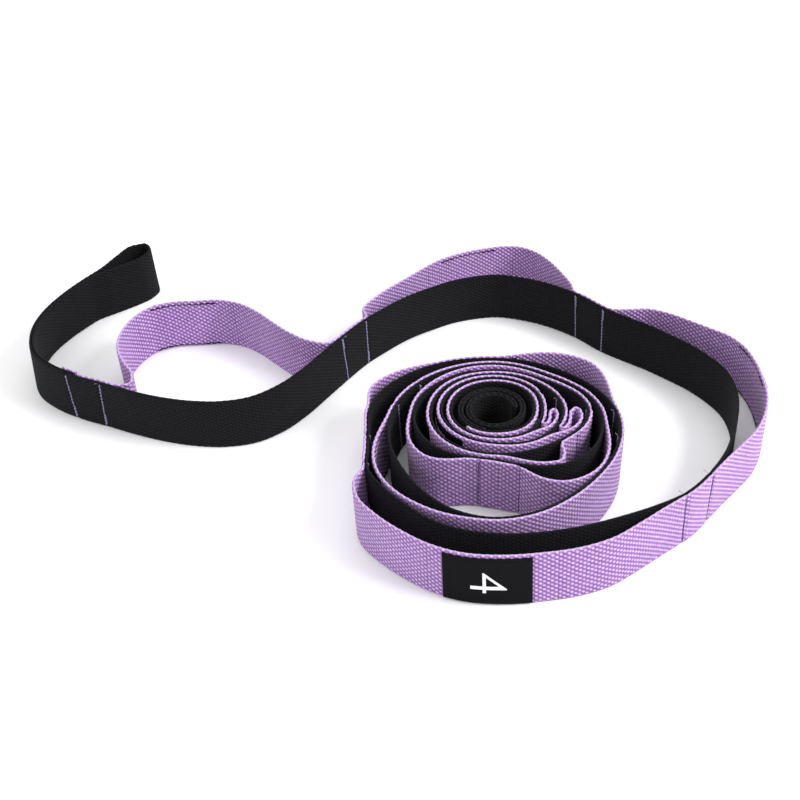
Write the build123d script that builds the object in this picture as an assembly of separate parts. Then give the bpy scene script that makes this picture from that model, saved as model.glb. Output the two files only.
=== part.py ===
"""A multi-loop stretching strap, standing on edge and partly rolled up.

A black base webbing runs the whole length. A longer webbing is sewn to its outer side at pairs of
cross rows, so that it stands off between them as hand and foot loops. Each end of the base webbing is
folded back into an end loop. Four loops and the first end loop lie free, and seven loops and the
second end loop are rolled into a coil.

Plan points are millimetres from the coil's centre, and COIL_CENTRE places that centre in the part frame.
"""
from build123d import *
import math
import os

# ---- driving dimensions, mm -------------------------------------------------------------------
WEBBING_WIDTH = 38.1
BASE_THICKNESS = 1.6
LOOP_THICKNESS = 1.8
LAYER_GAP = 0.3
ROW_SPACING = 25.4
HINGE_GAP = 1.6
LOOP_COUNT = 11
FREE_LOOPS = 4
COIL_CENTRE = (69.7, -38.6)

LABEL_LENGTH = 50.0
LABEL_HEIGHT = 36.0
LABEL_FOOT = 0.5
LABEL_THICKNESS = 0.5
LABEL_GAP = 0.05
GRIP_LENGTH = 74.0
GRIP_GAP = 0.8
TAIL_LENGTH = 7.0
# How far a label is sewn past the middle of its loop, by loop number.
LABEL_SHIFTS = {4: 2.4, 6: 85.0, 9: 20.0, 10: 25.0}

THREAD_WIDTH = 0.9
THREAD_PROUD = 0.2
THREAD_HEIGHT = 35.5
LABEL_SEAM_HEIGHT = 0.8
LABEL_SEAM_INSET = 1.6

LAYER_OFFSET = BASE_THICKNESS / 2 + LAYER_GAP + LOOP_THICKNESS / 2
RETURN_OFFSET = BASE_THICKNESS + LAYER_GAP
TAIL_OFFSET = RETURN_OFFSET + LAYER_OFFSET

# Lengths of the straight steps that the plan curves are worked out in.
SECTION_STEP = 4.0
FINE_STEP = 1.2
LOOP_STEP = 3.0
LAYER_STEP = 5.0
PLAN_SAMPLE = 1.0
FINE_SAMPLE = 0.5

# ---- the base webbing's route -------------------------------------------------------------------
FREE_ROUTE = [
    (-270, 206), (-279, 202), (-286, 188), (-293, 169), (-302, 152), (-311, 133), (-317, 112),
    (-317, 84), (-308, 60), (-292, 45), (-280, 38), (-256, 28), (-234, 19), (-212, 12), (-192, 8),
    (-173, 7), (-155, 11), (-139, 23), (-126, 40), (-114, 60), (-103, 79), (-90, 100), (-77, 115),
    (-62, 130), (-46, 142), (-30, 152), (-13, 158), (4, 160), (20, 156), (35, 150), (61, 133),
    (80, 114), (93, 104), (108, 93), (122, 81), (135, 69), (146, 55), (154, 40), (157, 22),
    (155, 2), (149, -18), (140, -41), (127, -61), (109, -80), (92, -90), (73, -98), (52, -105),
    (28, -110), (4, -111), (-18, -107), (-37, -98), (-52, -85), (-65, -71), (-74, -56), (-75, -38),
    (-76, -20),
]
FREE_JUNCTIONS = [(-268, 33), (-97, 90), (70, 124), (118, -71), (-75, -38)]

# Radius of the base webbing at W, NW, N, NE, E, SE, S and SW, one row for each turn of the coil.
COIL_TURNS = [
    (76.5, 61, 53.8, 59, 76, 87, 98, 77),
    (61.5, 51, 48, 50, 66.3, 69.5, 48.8, 51),
    (49, 42.5, 40.6, 43.6, 58.8, 48.6, 43.5, 41.5),
    (38.7, 37.4, 36.3, 38.5, 43, 40, 33.5, 32),
    (32.5, 32.5, 32, 32, 30, 31, 28, 27),
    (26.5, 27, 27, 27, 25, 25, 22.5, 21.8),
]
COMPASS_STEP = 45
COIL_SAMPLE = 15
COIL_OVERRUN = 180
COIL_JUNCTIONS = [190, 376, 626, 912, 1262, 1615, 2062]
CORE_PITCH = 4.9
CORE_TURNS = 1.75

# ---- the loop webbing's own shape ---------------------------------------------------------------
LOOP_ROUTES = [
    [(-236, 27), (-237, 37), (-245, 49), (-253, 64), (-256, 82), (-252, 102), (-243, 115),
     (-230, 121), (-214, 123), (-197, 125), (-182, 121), (-168, 111), (-154, 97), (-140, 84), (-124, 74),
     (-111, 72)],
    [(-92, 115), (-86, 128), (-77, 141), (-66, 154), (-54, 168), (-41, 181), (-25, 191), (-8, 198),
     (8, 202), (22, 201), (34, 193), (44, 179), (52, 162), (58, 146)],
    [(97, 113), (110, 113), (123, 108), (137, 99), (150, 90), (162, 81), (170.5, 68.5), (175, 52),
     (176.5, 32), (175.5, 12), (171, -4), (163, -20), (152, -34), (140, -48)],
    [(98, -91), (83, -103), (66, -115), (48, -122), (28, -126), (6, -128), (-16, -126), (-35, -119),
     (-52, -108), (-67, -95), (-78, -81), (-81, -67)],
]
LOOP_FLAT_LEADS = [11.0, 3.0, 3.0, 3.0]
LOOP_FLAT_END = 3.0

# Where a rolled loop stands off the base: degrees along the coil, height, run-up and run-down.
COIL_BULGES = [
    (16, 6.5, 16, 40), (144, 17.5, 56, 34), (314, 12, 44, 42), (592, 13.5, 45, 26), (675, 8, 30, 45),
    (795, 3, 80, 95), (947, 13.8, 11, 40),
]
# Where a rolled loop is doubled up just past its first cross row: loop number, fold length and reach.
COIL_FOLDS = {10: (16.0, 3.3), 11: (11.0, 2.3)}
TIGHTLY_BENT_LOOPS = (1, 9, 10, 11)
FOLD_START = 2.5
FOLD_FLAT_END = 2.0
FOLD_RUN_OUT = 19.0
FOLD_BEND = 1.4
FOLD_LIFT = 0.6

# The first end loop's return layer, near its open tip.
RETURN_TIP = [(-270, 206), (-263, 198), (-266, 187), (-275, 177), (-286, 167)]
RETURN_JOIN = 62.0
RETURN_END_PAST_ROW = 4.0
CORE_FOLD_REACH = 1.6
CORE_FOLD_SPACE = 3.0


# ---- plan curves ---------------------------------------------------------------------------------
def smooth(points, step):
    """Points about a step apart on a smooth curve through the given points."""
    ends = [tuple(2 * a - b for a, b in zip(points[0], points[1]))]
    tail = [tuple(2 * a - b for a, b in zip(points[-1], points[-2]))]
    padded = ends + list(points) + tail
    curve = [points[0]]
    for before, start, end, after in zip(padded, padded[1:], padded[2:], padded[3:]):
        spans = [max(math.dist(a, b), 1e-6) for a, b in ((before, start), (start, end), (end, after))]
        leave = [spans[1] * ((s - b) / spans[0] * spans[1] + (e - s) / spans[1] * spans[0])
                 / (spans[0] + spans[1]) for b, s, e in zip(before, start, end)]
        arrive = [spans[1] * ((e - s) / spans[1] * spans[2] + (a - e) / spans[2] * spans[1])
                  / (spans[1] + spans[2]) for s, e, a in zip(start, end, after)]
        count = max(1, round(spans[1] / step))
        for index in range(1, count + 1):
            t = index / count
            curve.append(tuple(
                (2 * t**3 - 3 * t**2 + 1) * s + (t**3 - 2 * t**2 + t) * m
                + (3 * t**2 - 2 * t**3) * e + (t**3 - t**2) * n
                for s, e, m, n in zip(start, end, leave, arrive)))
    return curve


class Route:
    """A plan curve that can be read by the distance along it."""

    def __init__(self, points, step=PLAN_SAMPLE):
        self.points = smooth(points, step)
        self.reach = [0.0]
        for a, b in zip(self.points, self.points[1:]):
            self.reach.append(self.reach[-1] + math.dist(a, b))
        self.length = self.reach[-1]

    def at(self, distance):
        distance = min(max(distance, 0.0), self.length)
        low, high = 0, len(self.reach) - 1
        while high - low > 1:
            middle = (low + high) // 2
            if self.reach[middle] <= distance:
                low = middle
            else:
                high = middle
        share = (distance - self.reach[low]) / (self.reach[high] - self.reach[low])
        return tuple(a + share * (b - a) for a, b in zip(self.points[low], self.points[high]))

    def left(self, distance):
        """The unit normal on the left of travel, which is the loops' side."""
        a = self.at(distance - 1.0)
        b = self.at(distance + 1.0)
        size = math.dist(a, b)
        return (-(b[1] - a[1]) / size, (b[0] - a[0]) / size)

    def beside(self, distance, offset, along=0.0):
        """A point at an offset to the left of the route, and a little along it."""
        point = self.at(distance)
        normal = self.left(distance)
        return (point[0] + offset * normal[0] + along * normal[1],
                point[1] + offset * normal[1] - along * normal[0])

    def nearest(self, target):
        return min(zip(self.points, self.reach), key=lambda pair: math.dist(pair[0], target))[1]


def table_radius(degrees):
    """The base webbing's radius in the coil, by degrees travelled from the first W point."""
    radii = [radius for turn in COIL_TURNS for radius in turn]
    place = degrees / COMPASS_STEP
    index = min(int(place), len(radii) - 2)
    share = place - index
    window = [radii[max(0, min(len(radii) - 1, index + k))] for k in (-1, 0, 1, 2)]
    slope_in = (window[2] - window[0]) / 2
    slope_out = (window[3] - window[1]) / 2
    return ((2 * share**3 - 3 * share**2 + 1) * window[1] + (share**3 - 2 * share**2 + share) * slope_in
            + (3 * share**2 - 2 * share**3) * window[2] + (share**3 - share**2) * slope_out)


def coil_point(degrees):
    """A point of the base webbing's coil, which is wound clockwise from W and inwards."""
    last = COIL_JUNCTIONS[-1]
    if degrees <= last:
        radius = table_radius(degrees)
    else:
        radius = table_radius(last) - CORE_PITCH * (degrees - last) / 360
    angle = math.radians(180 - degrees)
    return (radius * math.cos(angle), radius * math.sin(angle))


def base_route():
    """The whole base webbing, from the first end loop's tip to the second one's."""
    end = COIL_JUNCTIONS[-1] + int(360 * CORE_TURNS)
    coil = [coil_point(degrees) for degrees in range(0, end + 1, COIL_SAMPLE)]
    return Route(FREE_ROUTE + coil)


BASE = base_route()
COIL_START = BASE.nearest(coil_point(0))


def coil_distance(degrees):
    """Distance along the base webbing of a place in the coil."""
    target = coil_point(degrees)
    pairs = [(math.dist(point, target), reach) for point, reach in zip(BASE.points, BASE.reach)
             if reach >= COIL_START]
    return min(pairs)[1]


JUNCTIONS = [BASE.nearest(point) for point in FREE_JUNCTIONS]
JUNCTIONS += [coil_distance(degrees) for degrees in COIL_JUNCTIONS]


def first_row(junction):
    return JUNCTIONS[junction - 1] - ROW_SPACING / 2


def second_row(junction):
    return JUNCTIONS[junction - 1] + ROW_SPACING / 2


# ---- solids --------------------------------------------------------------------------------------
def ribbon(points, thickness, low=0.0, high=WEBBING_WIDTH, folded=False):
    """A band on edge: its plan line, thickened and raised from low to high.

    A band with tight folds has an outline of short straight steps, because a spline ripples there.
    """
    left = []
    right = []
    for index, point in enumerate(points):
        before = points[max(index - 1, 0)]
        after = points[min(index + 1, len(points) - 1)]
        size = math.dist(before, after)
        normal = (-(after[1] - before[1]) / size, (after[0] - before[0]) / size)
        for side, sign in ((left, 0.5), (right, -0.5)):
            side.append(Vector(point[0] + sign * thickness * normal[0] + COIL_CENTRE[0],
                               point[1] + sign * thickness * normal[1] + COIL_CENTRE[1], low))
    if folded:
        outline = Polyline(*left, *right[::-1], close=True)
    else:
        outline = Wire([Spline(*left), Line(left[-1], right[-1]), Spline(*right[::-1]), Line(right[0], left[0])])
    return extrude(make_face(outline), high - low, dir=(0, 0, 1))


def along(route, start, end, step=SECTION_STEP, offset=0.0):
    """Points of a route between two distances, moved to its left by an offset."""
    count = max(2, round((end - start) / step))
    return [route.beside(start + (end - start) * index / count, offset) for index in range(count + 1)]


def cross_row(distance, inner, outer):
    """One row of cross stitching through the layers, from inner to outer of the base's middle."""
    middle = (inner + outer) / 2
    ends = [BASE.beside(distance, middle, -THREAD_WIDTH / 2), BASE.beside(distance, middle, THREAD_WIDTH / 2)]
    middle_point = BASE.beside(distance, middle)
    low = (WEBBING_WIDTH - THREAD_HEIGHT) / 2
    return ribbon([ends[0], middle_point, ends[1]], outer - inner, low, low + THREAD_HEIGHT)


def joined_row(distance):
    """A cross row through the base webbing and a loop webbing."""
    inner = -BASE_THICKNESS / 2 - THREAD_PROUD
    outer = LAYER_OFFSET + LOOP_THICKNESS / 2 + THREAD_PROUD
    return cross_row(distance, inner, outer)


# ---- loop webbing --------------------------------------------------------------------------------
def free_loop(number):
    """The route of a loop that lies free, from the middle of one junction to the next."""
    lead = second_row(number) + LOOP_FLAT_LEADS[number - 1]
    tail = first_row(number + 1) - LOOP_FLAT_END
    start = along(BASE, JUNCTIONS[number - 1] + HINGE_GAP / 2, lead, LAYER_STEP, LAYER_OFFSET)
    finish = along(BASE, tail, JUNCTIONS[number] - HINGE_GAP / 2, LAYER_STEP, LAYER_OFFSET)
    return Route(start + LOOP_ROUTES[number - 1] + finish)


def bulge(degrees):
    """How far a rolled loop stands off the base at a place in the coil."""
    total = 0.0
    for centre, height, before, after in COIL_BULGES:
        width = before if degrees < centre else after
        if abs(degrees - centre) < width:
            total += height * (1 + math.cos(math.pi * (degrees - centre) / width)) / 2
    return total


def fold_points(distance, length, reach):
    """A doubled-up fold of loop webbing: along the base, back up beside it, over and down again."""
    near = LAYER_OFFSET
    flank = near + LOOP_THICKNESS + 2 * LAYER_GAP + FOLD_LIFT
    far = flank + 2 * reach
    under = [(0.0, near), (FOLD_BEND, near + FOLD_LIFT), (FOLD_BEND, flank - FOLD_LIFT), (0.0, flank)]
    back = [(-length / 2, flank + LAYER_GAP), (2.0 - length, flank), (-length, flank + reach / 2)]
    over = [(-length - 1.0, flank + reach), (-length, far - reach / 2), (3.0 - length, far)]
    down = [(-length / 3, far - LAYER_GAP), (3.0, near + 5.2), (7.0, near + 2.4), (11.0, near + 0.6),
            (15.0, near)]
    return [BASE.beside(distance + forward, out) for forward, out in under + back + over + down]


def rolled_loop(number):
    """The route of a loop in the coil, from the middle of one junction to the next."""
    start = JUNCTIONS[number - 1] + (HINGE_GAP / 2 if number == FREE_LOOPS + 1 else LAYER_GAP / 2)
    end = JUNCTIONS[number] - LAYER_GAP / 2
    if number == LOOP_COUNT:
        end = second_row(number + 1) + TAIL_LENGTH
    points = []
    if number in COIL_FOLDS:
        fold = second_row(number) + FOLD_START
        points += along(BASE, start, fold - FOLD_FLAT_END, SECTION_STEP, LAYER_OFFSET)
        points += fold_points(fold, *COIL_FOLDS[number])
        start = fold + FOLD_RUN_OUT
    count = round((end - start) / LAYER_STEP)
    for index in range(count + 1):
        distance = start + (end - start) * index / count
        points.append(BASE.beside(distance, LAYER_OFFSET + bulge(degrees_at(distance))))
    return Route(points, FINE_SAMPLE)


def degrees_at(distance):
    """Degrees travelled round the coil at a distance along the base webbing."""
    if distance < COIL_START:
        return 0.0
    low, high = 0.0, float(COIL_JUNCTIONS[-1] + COIL_OVERRUN)
    while high - low > 0.5:
        middle = (low + high) / 2
        if turn_reach(middle) < distance:
            low = middle
        else:
            high = middle
    return low


def turn_reach_table():
    """Distance along the base webbing at every sample of the coil."""
    table = [COIL_START]
    for degrees in range(COIL_SAMPLE, COIL_JUNCTIONS[-1] + COIL_OVERRUN + 1, COIL_SAMPLE):
        chords = [coil_point(degrees - COIL_SAMPLE + share) for share in (0, 5, 10, 15)]
        table.append(table[-1] + sum(math.dist(a, b) for a, b in zip(chords, chords[1:])))
    return table


REACH_TABLE = turn_reach_table()


def turn_reach(degrees):
    """Distance along the base webbing at a place in the coil."""
    place = degrees / COIL_SAMPLE
    index = min(int(place), len(REACH_TABLE) - 2)
    return REACH_TABLE[index] + (place - index) * (REACH_TABLE[index + 1] - REACH_TABLE[index])


# ---- parts ---------------------------------------------------------------------------------------
def write(name, shapes):
    shapes = shapes if isinstance(shapes, list) else [shapes]
    solids = [solid for shape in shapes for solid in shape.solids()]
    part = solids[0] if len(solids) == 1 else Compound(children=solids)
    export_step(part, f"parts/{name}.step")


def base_parts():
    """The base webbing, one section for each loop."""
    for number in range(1, LOOP_COUNT + 1):
        hinged_start = number <= FREE_LOOPS + 1
        hinged_end = number <= FREE_LOOPS
        start = JUNCTIONS[number - 1] + (HINGE_GAP if hinged_start else LAYER_GAP) / 2
        end = JUNCTIONS[number] - (HINGE_GAP if hinged_end else LAYER_GAP) / 2
        write(f"base_webbing_{number}", ribbon(along(BASE, start, end), BASE_THICKNESS))


def label_middle(route, number):
    return route.length / 2 + LABEL_SHIFTS.get(number, 0.0)


def label_on(route, number):
    """A label on a loop's outer face, near the middle of the loop."""
    middle = label_middle(route, number)
    offset = LOOP_THICKNESS / 2 + LABEL_GAP + LABEL_THICKNESS / 2
    points = along(route, middle - LABEL_LENGTH / 2, middle + LABEL_LENGTH / 2, SECTION_STEP, offset)
    write(f"label_{number}", ribbon(points, LABEL_THICKNESS, LABEL_FOOT, LABEL_FOOT + LABEL_HEIGHT))


def label_seams(route, number):
    """The two seams that hold a label, along its upper and lower edges."""
    middle = label_middle(route, number)
    half = LABEL_LENGTH / 2 - LABEL_SEAM_INSET
    inner = -LOOP_THICKNESS / 2 - THREAD_PROUD
    outer = LOOP_THICKNESS / 2 + LABEL_GAP + LABEL_THICKNESS + THREAD_PROUD / 2
    points = along(route, middle - half, middle + half, SECTION_STEP, (inner + outer) / 2)
    low = LABEL_FOOT + LABEL_SEAM_INSET
    high = LABEL_FOOT + LABEL_HEIGHT - LABEL_SEAM_INSET - LABEL_SEAM_HEIGHT
    return [ribbon(points, outer - inner, level, level + LABEL_SEAM_HEIGHT) for level in (low, high)]


def free_loop_parts():
    """Each free loop: two side runs and a grip between them, its label and its label's seams."""
    for number in range(1, FREE_LOOPS + 1):
        route = free_loop(number)
        grip_start = (route.length - GRIP_LENGTH) / 2
        grip_end = (route.length + GRIP_LENGTH) / 2
        runs = {
            "first_run": (0.0, grip_start - GRIP_GAP),
            "grip": (grip_start, grip_end),
            "second_run": (grip_end + GRIP_GAP, route.length),
        }
        for name, (start, end) in runs.items():
            folded = number in TIGHTLY_BENT_LOOPS and name == "first_run"
            points = along(route, start, end, FINE_STEP if folded else LOOP_STEP)
            write(f"loop_webbing_{number}_{name}", ribbon(points, LOOP_THICKNESS, folded=folded))
        label_on(route, number)
        write(f"label_stitching_{number}", label_seams(route, number))
        print("loop", number, "length", round(route.length, 1))


def rolled_loop_parts():
    """Each loop in the coil, with its label, and the seams of all those labels together."""
    seams = []
    for number in range(FREE_LOOPS + 1, LOOP_COUNT + 1):
        route = rolled_loop(number)
        folded = number in TIGHTLY_BENT_LOOPS
        points = along(route, 0.0, route.length, FINE_STEP if folded else LOOP_STEP)
        write(f"loop_webbing_{number}", ribbon(points, LOOP_THICKNESS, folded=folded))
        label_on(route, number)
        seams += label_seams(route, number)
        print("loop", number, "length", round(route.length, 1))
    write("label_stitching_coil", seams)


def cross_stitching_parts():
    """The cross rows on each body: two on every free loop's section, and the rest on the coil."""
    for number in range(1, FREE_LOOPS + 1):
        rows = [joined_row(second_row(number)), joined_row(first_row(number + 1))]
        write(f"cross_stitching_{number}", rows)
    rows = [joined_row(second_row(FREE_LOOPS + 1))]
    for junction in range(FREE_LOOPS + 2, LOOP_COUNT + 1):
        rows += [joined_row(first_row(junction)), joined_row(second_row(junction))]
    rows.append(joined_row(first_row(LOOP_COUNT + 1)))
    write("cross_stitching_coil", rows)


def first_end_loop():
    """The free end: the base webbing folded back and sewn under the first loop's tail."""
    outer_end = JUNCTIONS[0] - HINGE_GAP / 2
    outer = along(BASE, 0.0, outer_end)
    return_end = first_row(1) + RETURN_END_PAST_ROW
    back = RETURN_TIP + along(BASE, RETURN_JOIN, return_end, LAYER_STEP, RETURN_OFFSET)
    hairpin = Route(outer[::-1] + back[1:])
    points = along(hairpin, 0.0, hairpin.length, LOOP_STEP)
    write("end_loop_1", ribbon(points, BASE_THICKNESS, folded=True))
    tail = along(BASE, first_row(1) - TAIL_LENGTH, outer_end, SECTION_STEP, TAIL_OFFSET)
    write("loop_webbing_tail", ribbon(tail, LOOP_THICKNESS))
    inner = -BASE_THICKNESS / 2 - THREAD_PROUD
    outer_face = TAIL_OFFSET + LOOP_THICKNESS / 2 + THREAD_PROUD
    write("cross_stitching_end_1", cross_row(first_row(1), inner, outer_face))


def second_end_loop():
    """The rolled end: a doubled layer of base webbing at the heart of the coil."""
    start = JUNCTIONS[-1] + LAYER_GAP / 2
    end = BASE.length
    outer = along(BASE, start, end, LOOP_STEP)
    return_start = second_row(LOOP_COUNT + 1) - RETURN_END_PAST_ROW
    back = along(BASE, return_start, end - CORE_FOLD_SPACE, LOOP_STEP, -RETURN_OFFSET)
    tip = [BASE.beside(end, -share * RETURN_OFFSET, CORE_FOLD_REACH) for share in (0.15, 0.85)]
    hairpin = Route(outer + tip + back[::-1], FINE_SAMPLE)
    points = along(hairpin, 0.0, hairpin.length, FINE_STEP)
    write("end_loop_2", ribbon(points, BASE_THICKNESS, folded=True))
    inner = -RETURN_OFFSET - BASE_THICKNESS / 2 - THREAD_PROUD
    outer_face = LAYER_OFFSET + LOOP_THICKNESS / 2 + THREAD_PROUD
    write("cross_stitching_end_2", cross_row(second_row(LOOP_COUNT + 1), inner, outer_face))


def main():
    os.makedirs("parts", exist_ok=True)
    base_parts()
    free_loop_parts()
    rolled_loop_parts()
    cross_stitching_parts()
    first_end_loop()
    second_end_loop()
    spans = [round(b - a - ROW_SPACING) for a, b in zip(JUNCTIONS, JUNCTIONS[1:])]
    print("base spans", spans, "total", round(BASE.length))


main()
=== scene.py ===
"""Looks of the stretching strap: woven webbings, sewn rows, labels, floor, light and camera.

Plan work is in millimetres from the coil's centre, with the routes of the CAD source, and in_frame()
turns it into the frame's metres. A place along a route is a distance, and a height is measured up
from the lower edge of the webbing.
"""
import math
import random

import bmesh
import bpy
import numpy as np
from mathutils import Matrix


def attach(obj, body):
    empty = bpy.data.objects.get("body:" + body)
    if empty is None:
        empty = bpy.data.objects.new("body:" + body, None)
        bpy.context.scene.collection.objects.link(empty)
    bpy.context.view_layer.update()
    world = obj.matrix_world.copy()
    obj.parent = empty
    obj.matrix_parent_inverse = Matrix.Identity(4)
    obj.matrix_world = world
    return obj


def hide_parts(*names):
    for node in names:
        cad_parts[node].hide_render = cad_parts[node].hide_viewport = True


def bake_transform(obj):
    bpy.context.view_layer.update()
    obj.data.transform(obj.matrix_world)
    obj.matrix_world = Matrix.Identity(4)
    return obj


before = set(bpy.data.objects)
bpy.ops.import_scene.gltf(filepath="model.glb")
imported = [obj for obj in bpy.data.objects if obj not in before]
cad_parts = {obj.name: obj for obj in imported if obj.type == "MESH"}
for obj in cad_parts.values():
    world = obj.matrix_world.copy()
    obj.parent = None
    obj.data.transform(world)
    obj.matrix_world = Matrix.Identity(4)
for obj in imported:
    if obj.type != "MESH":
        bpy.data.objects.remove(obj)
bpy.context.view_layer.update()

# ---- sizes, mm -----------------------------------------------------------------------------------
MM = 0.001
WEBBING_WIDTH = 38.1
BASE_THICKNESS = 1.6
LOOP_THICKNESS = 1.8
LAYER_GAP = 0.3
ROW_SPACING = 25.4
LOOP_COUNT = 11
FREE_LOOPS = 4
COIL_CENTRE = (69.7, -38.6)
LAYER_OFFSET = BASE_THICKNESS / 2 + LAYER_GAP + LOOP_THICKNESS / 2
RETURN_OFFSET = BASE_THICKNESS + LAYER_GAP
TAIL_OFFSET = RETURN_OFFSET + LAYER_OFFSET

LABEL_LENGTH = 50.0
LABEL_HEIGHT = 36.0
LABEL_FOOT = 0.5
LABEL_SHIFTS = {4: 2.4, 6: 85.0, 9: 20.0, 10: 25.0}
LABEL_THICKNESS = 0.55
LABEL_STAND_OFF = 0.14
LABEL_FOLD = 0.25
LABEL_FOLD_REACH = 4.0
LABEL_SEAM_INSET = 1.1
GRIP_LENGTH = 74.0
TAIL_LENGTH = 7.0

# ---- the routes, as in the CAD source ------------------------------------------------------------
FREE_ROUTE = [
    (-270, 206), (-279, 202), (-286, 188), (-293, 169), (-302, 152), (-311, 133), (-317, 112),
    (-317, 84), (-308, 60), (-292, 45), (-280, 38), (-256, 28), (-234, 19), (-212, 12), (-192, 8),
    (-173, 7), (-155, 11), (-139, 23), (-126, 40), (-114, 60), (-103, 79), (-90, 100), (-77, 115),
    (-62, 130), (-46, 142), (-30, 152), (-13, 158), (4, 160), (20, 156), (35, 150), (61, 133),
    (80, 114), (93, 104), (108, 93), (122, 81), (135, 69), (146, 55), (154, 40), (157, 22),
    (155, 2), (149, -18), (140, -41), (127, -61), (109, -80), (92, -90), (73, -98), (52, -105),
    (28, -110), (4, -111), (-18, -107), (-37, -98), (-52, -85), (-65, -71), (-74, -56), (-75, -38),
    (-76, -20),
]
FREE_JUNCTIONS = [(-268, 33), (-97, 90), (70, 124), (118, -71), (-75, -38)]
COIL_TURNS = [
    (76.5, 61, 53.8, 59, 76, 87, 98, 77),
    (61.5, 51, 48, 50, 66.3, 69.5, 48.8, 51),
    (49, 42.5, 40.6, 43.6, 58.8, 48.6, 43.5, 41.5),
    (38.7, 37.4, 36.3, 38.5, 43, 40, 33.5, 32),
    (32.5, 32.5, 32, 32, 30, 31, 28, 27),
    (26.5, 27, 27, 27, 25, 25, 22.5, 21.8),
]
COMPASS_STEP = 45
COIL_SAMPLE = 15
COIL_OVERRUN = 180
COIL_JUNCTIONS = [190, 376, 626, 912, 1262, 1615, 2062]
CORE_PITCH = 4.9
CORE_TURNS = 1.75
LOOP_ROUTES = [
    [(-236, 27), (-237, 37), (-245, 49), (-253, 64), (-256, 82), (-252, 102), (-243, 115),
     (-230, 121), (-214, 123), (-197, 125), (-182, 121), (-168, 111), (-154, 97), (-140, 84), (-124, 74),
     (-111, 72)],
    [(-92, 115), (-86, 128), (-77, 141), (-66, 154), (-54, 168), (-41, 181), (-25, 191), (-8, 198),
     (8, 202), (22, 201), (34, 193), (44, 179), (52, 162), (58, 146)],
    [(97, 113), (110, 113), (123, 108), (137, 99), (150, 90), (162, 81), (170.5, 68.5), (175, 52),
     (176.5, 32), (175.5, 12), (171, -4), (163, -20), (152, -34), (140, -48)],
    [(98, -91), (83, -103), (66, -115), (48, -122), (28, -126), (6, -128), (-16, -126), (-35, -119),
     (-52, -108), (-67, -95), (-78, -81), (-81, -67)],
]
LOOP_FLAT_LEADS = [11.0, 3.0, 3.0, 3.0]
LOOP_FLAT_END = 3.0
COIL_BULGES = [
    (16, 6.5, 16, 40), (144, 17.5, 56, 34), (314, 12, 44, 42), (592, 13.5, 45, 26), (675, 8, 30, 45),
    (795, 3, 80, 95), (947, 13.8, 11, 40),
]
COIL_FOLDS = {10: (16.0, 3.3), 11: (11.0, 2.3)}
FOLD_START = 2.5
FOLD_FLAT_END = 2.0
FOLD_RUN_OUT = 19.0
FOLD_BEND = 1.4
FOLD_LIFT = 0.6
RETURN_TIP = [(-270, 206), (-263, 198), (-266, 187), (-275, 177), (-286, 167)]
RETURN_JOIN = 62.0
RETURN_END_PAST_ROW = 4.0
CORE_FOLD_REACH = 1.6
CORE_FOLD_SPACE = 3.0
SECTION_STEP = 4.0
LOOP_STEP = 3.0
LAYER_STEP = 5.0
PLAN_SAMPLE = 1.0
FINE_SAMPLE = 0.5

# ---- how the webbings are woven, mm --------------------------------------------------------------
# A yarn float takes two half cells along, and "period" of the weave's columns up the face. The floats
# of the next column lie half a period higher. A webbing's edge waves once in "wave" half cells.
HALF_CELL = 1.12
EDGE_INSET = 0.45
EDGE_ROUNDING = 1.1
WEAVES = {
    "loop": {"thickness": LOOP_THICKNESS, "columns": 46, "period": 4, "bump": 0.22, "scallop": 0.44,
             "wave": 2},
    "base": {"thickness": BASE_THICKNESS, "columns": 28, "period": 2, "bump": 0.09, "scallop": 0.56,
             "wave": 4},
    "label": {"thickness": LABEL_THICKNESS, "columns": 12, "period": 2, "bump": 0.0, "scallop": 0.0,
              "wave": 2},
}
# A float's shape, as shares of its cell: its slope, and its half sizes along and across.
FLOAT_SLANT = 0.20
FLOAT_REACH = 0.60
FLOAT_WIDTH = 0.36
# SELVEDGE is the width of the lighter band at each edge of a webbing, and EDGE_TINT is its strength:
# partly a lighter edge thread, partly a painted highlight.
SELVEDGE = 1.5
EDGE_TINT = 0.9
ROW_PINCH = 0.60
ROW_PINCH_REACH = 1.8
ROW_DRAW_SHARE = 0.8
ROW_DRAW_REACH = 2.5
RUN_REACH = 0.8
MEAN_RAISE = 0.4
CAP_UV = 0.25
LEAN = 0.9
LIFT = 0.35
# The foot of the free end's bend stands out this far to the left of its top.
SPLAY = 4.5
SPLAY_START = -275.0
SPLAY_FULL = -315.0

# ---- sewing, mm ----------------------------------------------------------------------------------
STITCH_PITCH = 2.7
STITCH_LENGTH = 2.5
STITCH_RADIUS = 0.50
STITCH_DEPTH = 0.7
STITCH_WANDER = 0.12
SUNKEN_RADIUS_SHARE = 0.9
ROW_END_SPACE = 2.0
DOUBLED_STITCHES = 3
DOUBLED_START = 0.4
DOUBLED_SHIFT = 0.62
LABEL_STITCH_PITCH = 3.9
LABEL_STITCH_LENGTH = 3.5
LABEL_STITCH_RADIUS = 0.16
LABEL_STITCH_DEPTH = 0.6
LABEL_STITCH_END_SPACE = 1.5
LABEL_THREAD_STAND_OFF = 0.10
BACK_THREAD_STAND_OFF = 0.12
BACK_STITCH_RADIUS = 0.30
BACK_TACK_RADIUS = 0.55
BACK_TACK_STITCHES = 3
LOOSE_END_RADIUS = 0.13
# How far the top of each cross row lies past its foot, for the junctions of the free loops.
ROW_SLANTS = {1: (0.0, 3.0), 2: (-2.0, 1.0), 3: (-2.0, -1.0), 4: (-2.0, 2.0)}


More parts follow.
